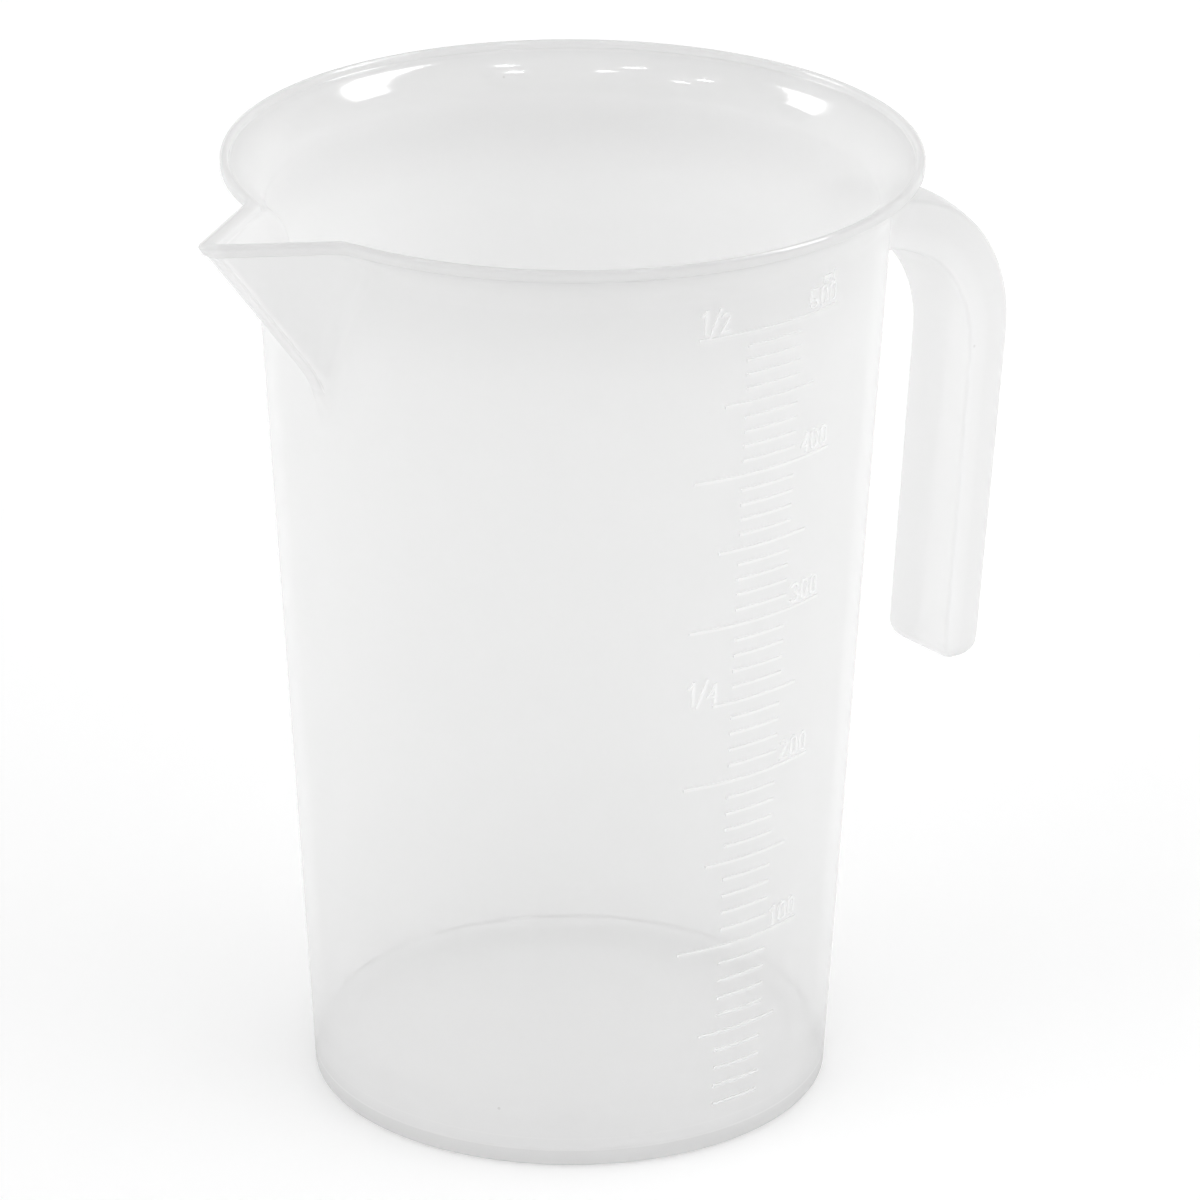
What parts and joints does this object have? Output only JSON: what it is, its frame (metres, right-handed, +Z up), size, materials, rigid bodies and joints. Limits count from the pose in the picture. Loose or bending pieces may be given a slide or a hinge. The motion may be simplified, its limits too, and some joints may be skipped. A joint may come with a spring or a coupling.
{
  "type": "measuring jug",
  "caption": "Tapered round translucent plastic jug with a flared mouth, V-shaped pouring spout, open hook handle and a raised volume scale.",
  "frame": {"origin": "middle of the base, on the table", "axes": "+Z up, -X towards the spout's tip, +X towards the handle, -Y towards the scale"},
  "size_m": [0.134, 0.093, 0.132],
  "materials": {
    "natural_plastic": "translucent natural polypropylene, softly glossy"
  },
  "bodies": {
    "root": {"foot_ring": "natural_plastic", "base_floor": "natural_plastic", "body_wall": "natural_plastic", "rim_flare": "natural_plastic", "rim_lip": "natural_plastic", "pour_spout": "natural_plastic", "handle_arm": "natural_plastic", "handle_bend": "natural_plastic", "handle_grip": "natural_plastic", "short_marks": "natural_plastic", "middle_marks": "natural_plastic", "long_marks": "natural_plastic", "numeral_100": "natural_plastic", "numeral_200": "natural_plastic", "numeral_300": "natural_plastic", "numeral_400": "natural_plastic", "numeral_500": "natural_plastic", "unit_mark": "natural_plastic", "quarter_mark": "natural_plastic", "half_mark": "natural_plastic"}
  },
  "joints": []
}
